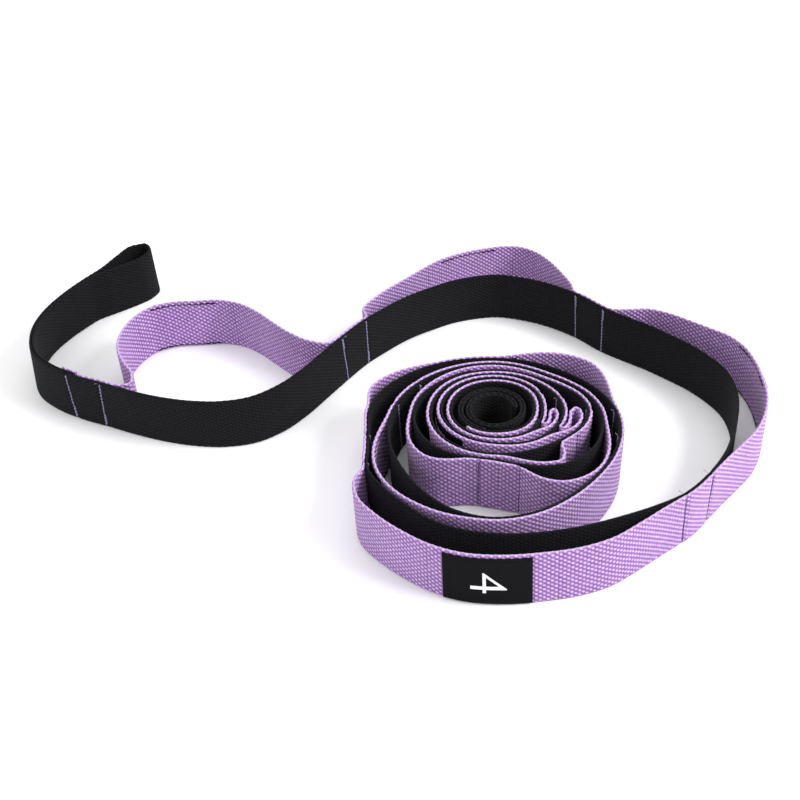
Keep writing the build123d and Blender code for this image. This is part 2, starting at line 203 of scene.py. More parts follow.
# ---- plan curves ---------------------------------------------------------------------------------
def smooth(points, step):
    """Points about a step apart on a smooth curve through the given points."""
    before_first = tuple(2 * a - b for a, b in zip(points[0], points[1]))
    after_last = tuple(2 * a - b for a, b in zip(points[-1], points[-2]))
    padded = [before_first] + list(points) + [after_last]
    curve = [points[0]]
    for before, start, end, after in zip(padded, padded[1:], padded[2:], padded[3:]):
        spans = [max(math.dist(a, b), 1e-6) for a, b in ((before, start), (start, end), (end, after))]
        leave = [spans[1] * ((s - b) / spans[0] * spans[1] + (e - s) / spans[1] * spans[0])
                 / (spans[0] + spans[1]) for b, s, e in zip(before, start, end)]
        arrive = [spans[1] * ((e - s) / spans[1] * spans[2] + (a - e) / spans[2] * spans[1])
                  / (spans[1] + spans[2]) for s, e, a in zip(start, end, after)]
        count = max(1, round(spans[1] / step))
        for index in range(1, count + 1):
            t = index / count
            curve.append(tuple(
                (2 * t**3 - 3 * t**2 + 1) * s + (t**3 - 2 * t**2 + t) * m
                + (3 * t**2 - 2 * t**3) * e + (t**3 - t**2) * n
                for s, e, m, n in zip(start, end, leave, arrive)))
    return curve


class Route:
    """A plan curve that is read by the distance along it, for one distance or an array of them."""

    def __init__(self, points, step=PLAN_SAMPLE):
        self.points = np.array(smooth(points, step), float)
        runs = np.linalg.norm(np.diff(self.points, axis=0), axis=1)
        self.reach = np.concatenate([[0.0], np.cumsum(runs)])
        self.length = float(self.reach[-1])

    def at(self, distance):
        return np.stack([np.interp(distance, self.reach, self.points[:, k]) for k in (0, 1)], axis=-1)

    def left(self, distance):
        """The unit normal on the left of travel, which is the loops' side of the base."""
        ahead = self.at(np.minimum(np.asarray(distance) + 1.0, self.length))
        behind = self.at(np.maximum(np.asarray(distance) - 1.0, 0.0))
        run = ahead - behind
        run = run / np.linalg.norm(run, axis=-1, keepdims=True)
        return np.stack([-run[..., 1], run[..., 0]], axis=-1)

    def beside(self, distance, offset, along=0.0):
        normal = self.left(distance)
        forward = np.stack([normal[..., 1], -normal[..., 0]], axis=-1)
        return self.at(distance) + np.asarray(offset)[..., None] * normal + along * forward

    def nearest(self, target):
        gaps = np.linalg.norm(self.points - np.array(target, float), axis=1)
        return float(self.reach[int(gaps.argmin())])


def table_radius(degrees):
    """The base webbing's radius in the coil, by degrees travelled from the first W point."""
    radii = [radius for turn in COIL_TURNS for radius in turn]
    place = degrees / COMPASS_STEP
    index = min(int(place), len(radii) - 2)
    share = place - index
    window = [radii[max(0, min(len(radii) - 1, index + k))] for k in (-1, 0, 1, 2)]
    slope_in = (window[2] - window[0]) / 2
    slope_out = (window[3] - window[1]) / 2
    return ((2 * share**3 - 3 * share**2 + 1) * window[1] + (share**3 - 2 * share**2 + share) * slope_in
            + (3 * share**2 - 2 * share**3) * window[2] + (share**3 - share**2) * slope_out)


def coil_point(degrees):
    """A point of the base webbing's coil, which is wound clockwise from W and inwards."""
    last = COIL_JUNCTIONS[-1]
    if degrees <= last:
        radius = table_radius(degrees)
    else:
        radius = table_radius(last) - CORE_PITCH * (degrees - last) / 360
    angle = math.radians(180 - degrees)
    return (radius * math.cos(angle), radius * math.sin(angle))


def base_route():
    end = COIL_JUNCTIONS[-1] + int(360 * CORE_TURNS)
    coil = [coil_point(degrees) for degrees in range(0, end + 1, COIL_SAMPLE)]
    return Route(FREE_ROUTE + coil)


BASE = base_route()
COIL_START = BASE.nearest(coil_point(0))


def coil_distance(degrees):
    """Distance along the base webbing of a place in the coil."""
    gaps = np.linalg.norm(BASE.points - np.array(coil_point(degrees)), axis=1)
    gaps[BASE.reach < COIL_START] = np.inf
    return float(BASE.reach[int(gaps.argmin())])


JUNCTIONS = [BASE.nearest(point) for point in FREE_JUNCTIONS]
JUNCTIONS += [coil_distance(degrees) for degrees in COIL_JUNCTIONS]


def first_row(junction):
    return JUNCTIONS[junction - 1] - ROW_SPACING / 2


def second_row(junction):
    return JUNCTIONS[junction - 1] + ROW_SPACING / 2


def along(route, start, end, step=SECTION_STEP, offset=0.0):
    """Points of a route between two distances, moved to its left by an offset."""
    count = max(2, round((end - start) / step))
    return [tuple(p) for p in route.beside(np.linspace(start, end, count + 1), offset)]


def free_loop(number):
    """A free loop's route. It starts and ends at the junctions' middles, where it lies on the base."""
    lead = second_row(number) + LOOP_FLAT_LEADS[number - 1]
    tail = first_row(number + 1) - LOOP_FLAT_END
    start = along(BASE, JUNCTIONS[number - 1], lead, LAYER_STEP, LAYER_OFFSET)
    finish = along(BASE, tail, JUNCTIONS[number], LAYER_STEP, LAYER_OFFSET)
    return Route(start + LOOP_ROUTES[number - 1] + finish)


def reach_by_degrees():
    """Degrees round the coil, and the distance along the base webbing at each."""
    degrees = np.arange(0, COIL_JUNCTIONS[-1] + COIL_OVERRUN + 1, 5)
    places = np.array([coil_point(d) for d in degrees])
    runs = np.linalg.norm(np.diff(places, axis=0), axis=1)
    return degrees, COIL_START + np.concatenate([[0.0], np.cumsum(runs)])


TURN_DEGREES, TURN_REACH = reach_by_degrees()


def bulge(distance):
    """How far a rolled loop stands off the base at a distance along it."""
    degrees = float(np.interp(distance, TURN_REACH, TURN_DEGREES))
    total = 0.0
    for centre, height, before, after in COIL_BULGES:
        width = before if degrees < centre else after
        if abs(degrees - centre) < width:
            total += height * (1 + math.cos(math.pi * (degrees - centre) / width)) / 2
    return total


def fold_points(distance, length, reach):
    """A doubled-up fold of loop webbing: along the base, back up beside it, over and down again."""
    near = LAYER_OFFSET
    flank = near + LOOP_THICKNESS + 2 * LAYER_GAP + FOLD_LIFT
    far = flank + 2 * reach
    under = [(0.0, near), (FOLD_BEND, near + FOLD_LIFT), (FOLD_BEND, flank - FOLD_LIFT), (0.0, flank)]
    back = [(-length / 2, flank + LAYER_GAP), (2.0 - length, flank), (-length, flank + reach / 2)]
    over = [(-length - 1.0, flank + reach), (-length, far - reach / 2), (3.0 - length, far)]
    down = [(-length / 3, far - LAYER_GAP), (3.0, near + 5.2), (7.0, near + 2.4), (11.0, near + 0.6),
            (15.0, near)]
    return [tuple(BASE.beside(distance + forward, out)) for forward, out in under + back + over + down]


def rolled_loop(number):
    """A rolled loop's route, from the middle of one junction to the next."""
    start = JUNCTIONS[number - 1]
    end = JUNCTIONS[number]
    if number == LOOP_COUNT:
        end = second_row(number + 1) + TAIL_LENGTH
    points = []
    if number in COIL_FOLDS:
        fold = second_row(number) + FOLD_START
        points += along(BASE, start, fold - FOLD_FLAT_END, SECTION_STEP, LAYER_OFFSET)
        points += fold_points(fold, *COIL_FOLDS[number])
        start = fold + FOLD_RUN_OUT
    count = round((end - start) / LAYER_STEP)
    for distance in np.linspace(start, end, count + 1):
        points.append(tuple(BASE.beside(distance, LAYER_OFFSET + bulge(distance))))
    return Route(points, FINE_SAMPLE)


# ---- from the plan to the frame ------------------------------------------------------------------
def in_frame(plan, height):
    """Frame points, in metres, of plan points at heights, with the strap's slight lean and unevenness.

    The lean and the lift depend on the place alone, so layers that lie together move together.
    """
    x, y = plan[..., 0], plan[..., 1]
    share = height / WEBBING_WIDTH
    lean_x = LEAN * np.sin(x / 41.0 + 0.6) * np.cos(y / 57.0 - 0.4)
    lean_y = LEAN * np.cos(x / 53.0 + 1.1) * np.sin(y / 37.0 + 0.9)
    lift = LIFT * (1 + np.sin(x / 19.0 + y / 27.0) * np.cos(y / 23.0 - x / 61.0))
    splay = SPLAY * np.clip((SPLAY_START - x) / (SPLAY_START - SPLAY_FULL), 0, 1) ** 2
    return np.stack([
        (x + COIL_CENTRE[0] + lean_x * share - splay * (1 - share)) * MM,
        (y + COIL_CENTRE[1] + lean_y * share) * MM,
        (height + lift) * MM,
    ], axis=-1)


def mesh_object(name, points, faces, uvs, materials, indices=None):
    """A smooth-shaded mesh piece. faces are lists of point numbers, and uvs has one pair per corner."""
    mesh = bpy.data.meshes.new(name)
    sizes = np.array([len(face) for face in faces])
    corners = np.concatenate([np.asarray(face) for face in faces]).astype(np.int32)
    mesh.vertices.add(len(points))
    mesh.vertices.foreach_set("co", np.asarray(points, np.float32).ravel())
    mesh.loops.add(len(corners))
    mesh.loops.foreach_set("vertex_index", corners)
    mesh.polygons.add(len(sizes))
    starts = np.concatenate([[0], np.cumsum(sizes)[:-1]]).astype(np.int32)
    mesh.polygons.foreach_set("loop_start", starts)
    mesh.update(calc_edges=True)
    if uvs is not None:
        layer = mesh.uv_layers.new(name="UVMap")
        layer.data.foreach_set("uv", np.asarray(uvs, np.float32).ravel())
    for material in materials:
        mesh.materials.append(material)
    if indices is not None:
        mesh.polygons.foreach_set("material_index", np.asarray(indices, np.int32))
    mesh.polygons.foreach_set("use_smooth", np.ones(len(sizes), bool))
    mesh.validate()
    obj = bpy.data.objects.new(name, mesh)
    bpy.context.scene.collection.objects.link(obj)
    return obj


def cell_steps(start, end):
    """How many half cells a stretch of webbing takes. It is even, so that the weave runs on."""
    return max(4, 2 * round((end - start) / HALF_CELL / 2))


def ring_shape(weave, low, high):
    """Round the cross-section: each point's height, side (1, 0 or -1) and share of the thickness."""
    columns = weave["columns"]
    inset = EDGE_INSET * (high - low) / WEBBING_WIDTH
    up = low + inset + (high - low - 2 * inset) * np.arange(columns + 1) / columns
    into = np.minimum(up - low, high - up)
    short = np.clip(1 - into / EDGE_ROUNDING, 0, 1)
    share = np.sqrt(1 - short**2)
    height = np.concatenate([up, [high], up[::-1], [low]])
    side = np.concatenate([np.ones(columns + 1), [0], -np.ones(columns + 1), [0]])
    return height, side, np.concatenate([share, [0], share[::-1], [0]])


def band_faces(stations, ring):
    """Quads round and along a band, and the quads that close its two ends."""
    i, q = np.meshgrid(np.arange(stations - 1), np.arange(ring), indexing="ij")
    i, q = i.ravel(), q.ravel()
    after = (q + 1) % ring
    sides = np.stack([i * ring + q, i * ring + after, (i + 1) * ring + after, (i + 1) * ring + q],
                     axis=1)
    uv = np.stack([i, q, i, q + 1, i + 1, q + 1, i + 1, q], axis=1).reshape(-1, 4, 2) * [0.5, 1.0]
    half = ring // 2 - 1
    front = np.arange(half - 1)
    back = 2 * half - front
    caps = np.stack([front, back, back - 1, front + 1], axis=1)
    tips = [(half - 1, half + 1, half), (0, ring - 1, ring - 2)]
    last = (stations - 1) * ring
    return sides, uv, caps, tips, last


def band(name, line, start, end, kind, cells, materials, rows=(), low=0.0, high=WEBBING_WIDTH,
         fold=0.0):
    """A piece of webbing on edge, woven in its geometry.

    line turns distances into plan points, cells is the weave's count at the start, and rows are the
    distances of the sewn rows that pinch it. fold thickens its two ends, as on a label.
    """
    weave = WEAVES[kind]
    steps = cell_steps(start, end)
    distance = np.linspace(start, end, steps + 1)
    centre = line(distance)
    run = line(distance + RUN_REACH) - line(distance - RUN_REACH)
    run = run / np.linalg.norm(run, axis=1, keepdims=True)
    normal = np.stack([-run[:, 1], run[:, 0]], axis=1)
    thickness = np.full(steps + 1, weave["thickness"])
    for row in rows:
        thickness *= 1 - ROW_PINCH * np.exp(-((distance - row) / ROW_PINCH_REACH) ** 2)
    near_end = np.minimum(distance - start, end - distance)
    thickness += fold * (near_end < LABEL_FOLD_REACH)
    height, side, share = ring_shape(weave, low, high)
    ring = len(height)
    q = np.arange(ring)
    i = np.arange(steps + 1)[:, None]
    column = (i + cells) // 2
    phase = q / weave["period"] + 0.5 * (column % 2)
    raised = ((i + cells) % 2) * (0.5 - 0.5 * np.cos(2 * math.pi * phase))
    relief = weave["bump"] * (raised - MEAN_RAISE) * (share > 0.5)
    offset = side * (thickness[:, None] / 2 * share + relief)
    beat = np.cos(2 * math.pi * (i + cells) / weave["wave"])
    wavy = -weave["scallop"] / 2 * beat * (side == 0)
    level = height + wavy * np.where(height > (low + high) / 2, 1, -1)
    plan = centre[:, None, :] + offset[..., None] * normal[:, None, :]
    points = in_frame(plan, level).reshape(-1, 3)
    sides, uv, caps, tips, last = band_faces(steps + 1, ring)
    faces = list(sides) + list(caps) + list(tips)
    faces += [c[::-1] + last for c in caps] + [tuple(last + k for k in t[::-1]) for t in tips]
    uv[..., 0] += cells / 2
    uv[..., 1] /= weave["period"]
    cap_uv = np.full((sum(len(f) for f in faces[len(sides):]), 2), CAP_UV)
    uvs = np.concatenate([uv.reshape(-1, 2), cap_uv])
    piece = mesh_object(name, points, faces, uvs, materials)
    piece["sewn_length"] = end - start
    return piece


def declare(piece, body, nodes):
    if isinstance(body, str):
        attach(piece, body)
    else:
        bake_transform(piece)
    if nodes:
        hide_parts(*nodes)


# ---- materials -----------------------------------------------------------------------------------
class Nodes:
    """A short way to write a material's node tree."""

    def __init__(self, name):
        self.material = bpy.data.materials.new(name)
        self.material.use_nodes = True
        self.tree = self.material.node_tree
        self.shader = self.tree.nodes["Principled BSDF"]

    def add(self, kind, **settings):
        node = self.tree.nodes.new(kind)
        for key, value in settings.items():
            setattr(node, key, value)
        return node

    def link(self, source, target):
        self.tree.links.new(source, target)

    def math(self, operation, *inputs, clamp=False):
        node = self.add("ShaderNodeMath", operation=operation, use_clamp=clamp)
        for socket, value in zip(node.inputs, inputs):
            if isinstance(value, (int, float)):
                socket.default_value = value
            else:
                self.link(value, socket)
        return node.outputs[0]

    def ramp(self, factor, stops):
        node = self.add("ShaderNodeValToRGB")
        elements = node.color_ramp.elements
        elements[0].position, elements[0].color = stops[0][0], (*stops[0][1], 1)
        elements[1].position, elements[1].color = stops[-1][0], (*stops[-1][1], 1)
        for position, colour in stops[1:-1]:
            element = elements.new(position)
            element.color = (*colour, 1)
        self.link(factor, node.inputs[0])
        return node.outputs[0]

    def noise(self, scale, detail=2.0, coordinates=None, roughness=0.5):
        node = self.add("ShaderNodeTexNoise")
        node.inputs["Scale"].default_value = scale
        node.inputs["Detail"].default_value = detail
        node.inputs["Roughness"].default_value = roughness
        if coordinates is not None:
            self.link(coordinates, node.inputs["Vector"])
        return node.outputs[0]

    def mix(self, factor, one, two, blend="MIX"):
        node = self.add("ShaderNodeMix", data_type="RGBA", blend_type=blend)
        for socket, value in zip((node.inputs[0], node.inputs[6], node.inputs[7]), (factor, one, two)):
            if isinstance(value, (int, float)):
                socket.default_value = value
            elif isinstance(value, tuple):
                socket.default_value = (*value, 1)
            else:
                self.link(value, socket)
        return node.outputs[2]


def webbing_material(name, weave, gap_shade, yarn, light, edge, relief, roughness, sheen, sheen_tint):
    """Woven webbing: columns of slanted yarn floats in the cells that the geometry is built on, with a
    painted highlight on the floats and painted shade in the gaps between them.
    """
    n = Nodes(name)
    place = n.add("ShaderNodeTexCoord")
    split = n.add("ShaderNodeSeparateXYZ")
    n.link(place.outputs["UV"], split.inputs[0])
    x, y = split.outputs[0], split.outputs[1]
    odd = n.math("MODULO", n.math("FLOOR", x), 2.0)
    fx = n.math("SUBTRACT", n.math("FRACT", x), 0.5)
    fy = n.math("SUBTRACT", n.math("FRACT", n.math("ADD", y, n.math("MULTIPLY", odd, 0.5))), 0.5)
    level = n.math("SUBTRACT", fy, n.math("MULTIPLY", fx, FLOAT_SLANT))
    along_float = n.math("DIVIDE", fx, FLOAT_REACH)
    across_float = n.math("DIVIDE", level, FLOAT_WIDTH)
    spread = n.math("ADD", n.math("MULTIPLY", along_float, along_float),
                    n.math("MULTIPLY", across_float, across_float))
    floats = n.math("SUBTRACT", 1.0, spread, clamp=True)
    stretch = n.add("ShaderNodeMapping")
    stretch.inputs["Scale"].default_value = (3.0, 14.0, 1.0)
    n.link(place.outputs["UV"], stretch.inputs["Vector"])
    fibres = n.noise(1.0, 3.0, stretch.outputs[0], 0.65)
    uneven = n.noise(0.9, 2.0, place.outputs["UV"], 0.6)
    broad = n.noise(14.0, 3.0, place.outputs["Object"], 0.6)
    tone = n.math("ADD", n.math("MULTIPLY", floats, 0.66), n.math("MULTIPLY", fibres, 0.20))
    tone = n.math("ADD", tone, n.math("MULTIPLY", n.math("SUBTRACT", uneven, 0.36), 0.50))
    # Painted light: the gap colour is painted shade between the floats, and the light colour is a
    # painted highlight on their tops, over the yarn colour.
    colour = n.ramp(tone, [(0.12, gap_shade), (0.45, yarn), (0.86, light)])
    shade = n.ramp(broad, [(0.30, (0.84, 0.84, 0.84)), (0.70, (1.0, 1.0, 1.0))])
    colour = n.mix(1.0, colour, shade, "MULTIPLY")
    # Lighter band along each edge of the webbing: a lighter selvedge thread, with a painted highlight on
    # the edges as well.
    step = WEBBING_WIDTH / weave["columns"]
    half_turn = (weave["columns"] + 2) / weave["period"]
    turn = n.math("DIVIDE", n.math("ADD", y, 1.0 / weave["period"]), half_turn)
    from_edge = n.math("ABSOLUTE", n.math("SUBTRACT", turn, n.math("ROUND", turn)))
    from_edge = n.math("MULTIPLY", from_edge, half_turn * weave["period"] * step / SELVEDGE)
    on_edge = n.math("SUBTRACT", 1.0, from_edge, clamp=True)
    colour = n.mix(n.math("MULTIPLY", on_edge, EDGE_TINT, clamp=True), colour, edge)
    n.link(colour, n.shader.inputs["Base Color"])
    height = n.math("ADD", floats, n.math("MULTIPLY", fibres, 0.45))
    bump = n.add("ShaderNodeBump")
    bump.inputs["Strength"].default_value = relief
    bump.inputs["Distance"].default_value = 0.0005
    n.link(height, bump.inputs["Height"])
    n.link(bump.outputs[0], n.shader.inputs["Normal"])
    n.shader.inputs["Roughness"].default_value = roughness
    n.shader.inputs["Specular IOR Level"].default_value = 0.12
    n.shader.inputs["Sheen Weight"].default_value = sheen
    n.shader.inputs["Sheen Roughness"].default_value = 0.5
    n.shader.inputs["Sheen Tint"].default_value = (*sheen_tint, 1)
    return n.material


def thread_material(name, dark, light, shine=0.5):
    """Twisted sewing thread: fine slanting plies along each stitch."""
    n = Nodes(name)
    place = n.add("ShaderNodeTexCoord")
    wave = n.add("ShaderNodeTexWave", wave_type="BANDS", bands_direction="DIAGONAL")
    wave.inputs["Scale"].default_value = 900.0
    wave.inputs["Distortion"].default_value = 1.5
    n.link(place.outputs["Object"], wave.inputs["Vector"])
    ply = wave.outputs["Fac"]
    colour = n.ramp(ply, [(0.15, dark), (0.75, light)])
    n.link(colour, n.shader.inputs["Base Color"])
    bump = n.add("ShaderNodeBump")
    bump.inputs["Strength"].default_value = 0.6
    bump.inputs["Distance"].default_value = 0.0001
    n.link(ply, bump.inputs["Height"])
    n.link(bump.outputs[0], n.shader.inputs["Normal"])
    n.shader.inputs["Roughness"].default_value = 0.6
    n.shader.inputs["Specular IOR Level"].default_value = shine
    n.shader.inputs["Sheen Weight"].default_value = 0.2 * shine
    return n.material


def label_material():
    """Smooth woven label tape: very fine satin ribs, nearly black."""
    n = Nodes("label_tape")
    uv = n.add("ShaderNodeTexCoord")
    stretch = n.add("ShaderNodeMapping")
    stretch.inputs["Scale"].default_value = (2.4, 18.0, 1.0)
    n.link(uv.outputs["UV"], stretch.inputs["Vector"])
    wave = n.add("ShaderNodeTexWave", wave_type="BANDS", bands_direction="Y")
    wave.inputs["Scale"].default_value = 1.0
    wave.inputs["Distortion"].default_value = 0.4
    n.link(stretch.outputs[0], wave.inputs["Vector"])
    fibres = n.noise(6.0, 3.0, uv.outputs["UV"], 0.7)
    tone = n.math("ADD", n.math("MULTIPLY", wave.outputs["Fac"], 0.4), n.math("MULTIPLY", fibres, 0.6))
    n.link(n.ramp(tone, [(0.2, (0.0030, 0.0031, 0.0040)), (0.8, (0.0065, 0.0066, 0.0085))]),
           n.shader.inputs["Base Color"])
    bump = n.add("ShaderNodeBump")
    bump.inputs["Strength"].default_value = 0.25
    bump.inputs["Distance"].default_value = 0.0001
    n.link(tone, bump.inputs["Height"])
    n.link(bump.outputs[0], n.shader.inputs["Normal"])
    n.shader.inputs["Roughness"].default_value = 0.6
    n.shader.inputs["Specular IOR Level"].default_value = 0.04
    return n.material


def numeral_material():
    """White numerals, woven into the tape."""
    n = Nodes("numeral_white")
    place = n.add("ShaderNodeTexCoord")
    grain = n.noise(2600.0, 2.0, place.outputs["Object"], 0.5)
    n.link(n.ramp(grain, [(0.3, (0.70, 0.70, 0.72)), (0.7, (0.90, 0.90, 0.92))]),
           n.shader.inputs["Base Color"])
    bump = n.add("ShaderNodeBump")
    bump.inputs["Strength"].default_value = 0.3
    bump.inputs["Distance"].default_value = 0.0001
    n.link(grain, bump.inputs["Height"])
    n.link(bump.outputs[0], n.shader.inputs["Normal"])
    n.shader.inputs["Roughness"].default_value = 0.55
    return n.material


# For both webbings the gap colour is painted shade between the floats, the light colour is a painted
# highlight on them, and the edge colour is a lighter edge thread with a painted highlight.
PURPLE = webbing_material(
    "purple_webbing", WEAVES["loop"], gap_shade=(0.200, 0.090, 0.300), yarn=(0.385, 0.208, 0.525),
    light=(0.700, 0.530, 0.780), edge=(0.480, 0.330, 0.590), relief=0.8, roughness=0.85,
    sheen=0.25, sheen_tint=(0.98, 0.88, 1.0))
BLACK = webbing_material(
    "black_webbing", WEAVES["base"], gap_shade=(0.0026, 0.0026, 0.0030), yarn=(0.0062, 0.0062, 0.0070),
    light=(0.0125, 0.0125, 0.0140), edge=(0.0080, 0.0080, 0.0092), relief=0.5, roughness=0.95,
    sheen=0.03, sheen_tint=(0.7, 0.75, 0.85))
LILAC_THREAD = thread_material("lilac_thread", (0.100, 0.085, 0.180), (0.270, 0.240, 0.400))
# The violet thread of the rows on the loop webbing has its own colour, and is painted darker as well to
# stand for the shade in the sewn creases.
VIOLET_THREAD = thread_material("violet_thread", (0.055, 0.025, 0.090), (0.150, 0.075, 0.230))
BLACK_THREAD = thread_material("black_thread", (0.003, 0.003, 0.004), (0.010, 0.009, 0.013), 0.1)
LABEL_TAPE = label_material()
NUMERAL_WHITE = numeral_material()


# ---- threads -------------------------------------------------------------------------------------
class Threads:
    """Collects small closed tubes, then makes one piece of them."""

    SIDES = 6

    def __init__(self):
        self.points, self.faces, self.indices, self.count = [], [], [], 0

    def tube(self, line, radii, index=0):
        """A tube through frame points, with a radius in millimetres at each."""
        line = np.asarray(line, float)
        run = np.gradient(line, axis=0)
        run = run / np.linalg.norm(run, axis=1, keepdims=True)
        hint = np.where(np.abs(run[:, 2:3]) > 0.8, [[1.0, 0.0, 0.0]], [[0.0, 0.0, 1.0]])
        side = np.cross(run, hint)
        side = side / np.linalg.norm(side, axis=1, keepdims=True)
        other = np.cross(run, side)
        turn = np.arange(self.SIDES) / self.SIDES * 2 * math.pi
        ring = (np.cos(turn)[None, :, None] * side[:, None, :]
                + np.sin(turn)[None, :, None] * other[:, None, :])
        tube = line[:, None, :] + ring * (np.asarray(radii)[:, None, None] * MM)
        first = self.count
        for i in range(len(line) - 1):
            for k in range(self.SIDES):
                a = first + i * self.SIDES + k
                b = first + i * self.SIDES + (k + 1) % self.SIDES
                self.faces.append((a, b, b + self.SIDES, a + self.SIDES))
        end = first + (len(line) - 1) * self.SIDES
        self.faces.append(tuple(range(first + self.SIDES - 1, first - 1, -1)))
        self.faces.append(tuple(range(end, end + self.SIDES)))
        self.indices += [index] * (len(self.faces) - len(self.indices))
        self.points.append(tube.reshape(-1, 3))
        self.count += tube.shape[0] * self.SIDES

    def piece(self, name, body, nodes, slot, materials):
        points = np.concatenate(self.points)
        obj = mesh_object(name, points, self.faces, None, materials, self.indices)
        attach(obj, body)
        if nodes:
            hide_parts(*nodes)


SHAPE_ALONG = np.array([0.0, 0.12, 0.35, 0.65, 0.88, 1.0])
STITCH_SWELL = np.array([0.45, 0.85, 1.0, 1.0, 0.85, 0.45])
STITCH_DIP = np.array([0.45, 0.12, 0.0, 0.0, 0.12, 0.45])


def row_stitches(threads, row, inner, outer, slant, chance):
    """One cross row on both faces: thread on the base's side, and a sunken one on the loops' side.

    The row starts with a few doubled stitches on the base's side, at its foot or its top.
    """
    count = int((WEBBING_WIDTH - ROW_END_SPACE) / STITCH_PITCH)
    margin = (WEBBING_WIDTH - count * STITCH_PITCH) / 2
    sunken = STITCH_RADIUS * SUNKEN_RADIUS_SHARE
    for face, index, radius in ((inner, 0, STITCH_RADIUS), (outer, 1, sunken)):
        outward = 1 if face > 0 else -1
        for k in range(count):
            height = margin + k * STITCH_PITCH + SHAPE_ALONG * STITCH_LENGTH
            wander = chance.uniform(-STITCH_WANDER, STITCH_WANDER)
            place = row + slant * (height / WEBBING_WIDTH - 0.5) + wander
            offset = face - outward * STITCH_DIP * STITCH_DEPTH
            line = in_frame(BASE.beside(place, offset), height)
            threads.tube(line, STITCH_SWELL * radius, index)
    for k in range(DOUBLED_STITCHES):
        height = margin + (k + DOUBLED_START) * STITCH_PITCH + SHAPE_ALONG * STITCH_LENGTH
        if slant < 0:
            height = WEBBING_WIDTH - height
        place = row + slant * (height / WEBBING_WIDTH - 0.5) + DOUBLED_SHIFT
        line = in_frame(BASE.beside(place, inner + STITCH_DIP * STITCH_DEPTH), height)
        threads.tube(line, STITCH_SWELL * STITCH_RADIUS, 0)


def loose_end(threads, row, face, height, reach, curl, index=0):
    """A cut thread end that stands out of a row."""
    t = np.linspace(0, 1, 9)
    outward = 1 if face > 0 else -1
    place = row + curl * np.sin(t * 2.2) * 2.0
    offset = face + outward * reach * (0.55 * t + 0.25 * np.sin(t * 3.0))
    level = height + reach * 0.55 * np.sin(t * 2.6) * (1 if height > 5 else 0.2)
    line = in_frame(BASE.beside(place, offset), level)
    threads.tube(line, np.full(len(t), LOOSE_END_RADIUS), index)


INNER_FACE = -BASE_THICKNESS / 2 - 0.10
OUTER_FACE = LAYER_OFFSET + LOOP_THICKNESS / 2 - 0.55


def cross_rows():
    """The sewn rows on each body, with a few loose thread ends."""
    chance = random.Random(11)

    def rows_of(threads, junction, which):
        row = first_row(junction) if which == 0 else second_row(junction)
        slants = ROW_SLANTS.get(junction, (chance.uniform(-1, 1), chance.uniform(-1, 1)))
        stand_off = bulge(row) if junction > FREE_LOOPS + 1 else 0.0
        row_stitches(threads, row, INNER_FACE, OUTER_FACE + stand_off, slants[which], chance)
        if chance.random() < 0.75:
            loose_end(threads, row, INNER_FACE, WEBBING_WIDTH - 1.5, chance.uniform(2.0, 4.0),
                      chance.uniform(-1, 1))
        if chance.random() < 0.5:
            loose_end(threads, row, OUTER_FACE, chance.uniform(1.5, 4.0), chance.uniform(2.0, 4.0),
                      chance.uniform(-1, 1), 1)

    for number in range(1, FREE_LOOPS + 1):
        threads = Threads()
        rows_of(threads, number, 1)
        rows_of(threads, number + 1, 0)
        threads.piece(f"cross_thread_{number}", f"span_{number}", [f"cross_stitching_{number}"],
                      "cross_thread", [LILAC_THREAD, VIOLET_THREAD])
    threads = Threads()
    rows_of(threads, FREE_LOOPS + 1, 1)
    for junction in range(FREE_LOOPS + 2, LOOP_COUNT + 2):
        rows_of(threads, junction, 0)
        if junction <= LOOP_COUNT:
            rows_of(threads, junction, 1)
    threads.piece("cross_thread_coil", "coil", ["cross_stitching_coil"],
                  "cross_thread", [LILAC_THREAD, VIOLET_THREAD])
    threads = Threads()
    row_stitches(threads, first_row(1), INNER_FACE, TAIL_OFFSET + LOOP_THICKNESS / 2 - 0.5,
                 ROW_SLANTS[1][0], chance)
    threads.piece("cross_thread_end_1", "free_end", ["cross_stitching_end_1"],
                  "cross_thread", [LILAC_THREAD, VIOLET_THREAD])
    threads = Threads()
    row_stitches(threads, second_row(LOOP_COUNT + 1), INNER_FACE - RETURN_OFFSET, OUTER_FACE, 0.5,
                 chance)
    threads.piece("cross_thread_end_2", "coil", ["cross_stitching_end_2"],
                  "cross_thread", [LILAC_THREAD, VIOLET_THREAD])


def label_middle(route, number):
    return route.length / 2 + LABEL_SHIFTS.get(number, 0.0)


def label_stitches(threads, route, number):
    """Black thread along a label's two long edges: fine on the label, thick on the webbing's back."""
    middle = label_middle(route, number)
    half = LABEL_LENGTH / 2 - LABEL_STITCH_END_SPACE
    count = int(2 * half / LABEL_STITCH_PITCH)
    margin = (2 * half - count * LABEL_STITCH_PITCH) / 2
    label_face = LOOP_THICKNESS / 2 + LABEL_THICKNESS + LABEL_THREAD_STAND_OFF
    back_face = -LOOP_THICKNESS / 2 - BACK_THREAD_STAND_OFF
    for level in (LABEL_FOOT + LABEL_SEAM_INSET, LABEL_FOOT + LABEL_HEIGHT - LABEL_SEAM_INSET):
        heights = np.full(len(SHAPE_ALONG), level)
        for k in range(count):
            start = middle - half + margin + k * LABEL_STITCH_PITCH
            place = start + SHAPE_ALONG * LABEL_STITCH_LENGTH
            tacked = min(k, count - 1 - k) < BACK_TACK_STITCHES
            back = BACK_TACK_RADIUS if tacked else BACK_STITCH_RADIUS
            for face, outward, radius in ((label_face, 1, LABEL_STITCH_RADIUS), (back_face, -1, back)):
                offset = face - outward * STITCH_DIP * LABEL_STITCH_DEPTH
                threads.tube(in_frame(route.beside(place, offset), heights), STITCH_SWELL * radius)


